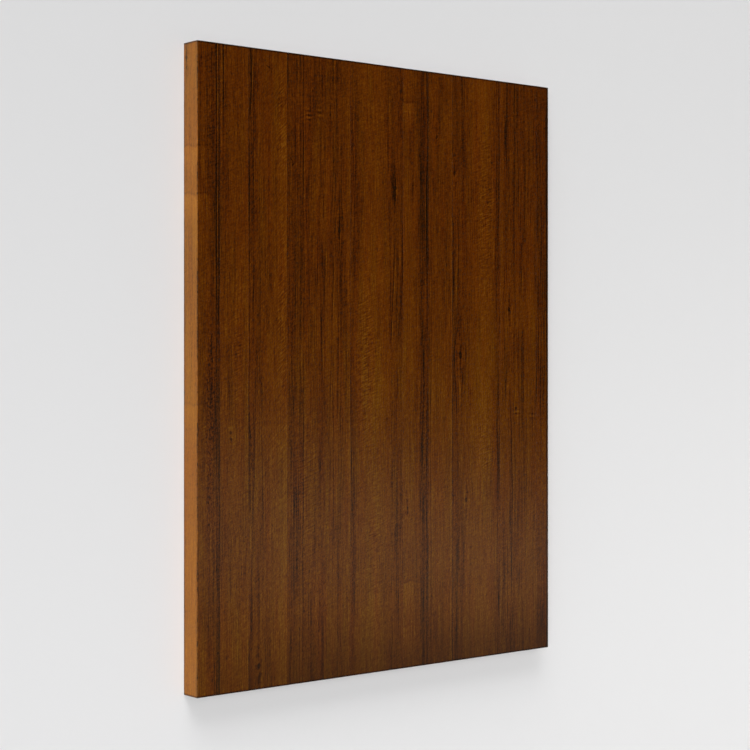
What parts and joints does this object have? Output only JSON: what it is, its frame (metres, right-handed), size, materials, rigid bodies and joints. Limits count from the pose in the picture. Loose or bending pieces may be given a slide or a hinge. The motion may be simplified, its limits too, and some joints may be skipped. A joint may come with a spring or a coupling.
{
  "type": "wood veneer panel",
  "caption": "Flat board panel with a dark spliced wood veneer face of straight-jointed leaves, flush lighter edge bands and a plain backing veneer.",
  "frame": {"origin": "middle of the panel's underside, on the plane it lies on", "axes": "+X across the grain to the face's right, +Y along the grain and the panel's length, +Z out of the veneered face"},
  "size_m": [0.45, 0.6, 0.022],
  "materials": {
    "face_veneer": "dark brown satin-oiled veneer, straight grain",
    "edge_band": "satin-oiled veneer strips, golden brown on the two long edges, dark brown on the two ends",
    "back_veneer": "plain brown veneer, sanded",
    "core_board": "raw fibreboard"
  },
  "bodies": {
    "root": {"core_board": "core_board", "back_veneer": "back_veneer", "face_leaf_01": "face_veneer", "face_leaf_02": "face_veneer", "face_leaf_03": "face_veneer", "face_leaf_04": "face_veneer", "face_leaf_05": "face_veneer", "face_leaf_06": "face_veneer", "face_leaf_07": "face_veneer", "face_leaf_08": "face_veneer", "face_leaf_09": "face_veneer", "face_leaf_10": "face_veneer", "edge_band_left": "edge_band", "edge_band_right": "edge_band", "edge_band_near": "edge_band", "edge_band_far": "edge_band"}
  },
  "joints": []
}
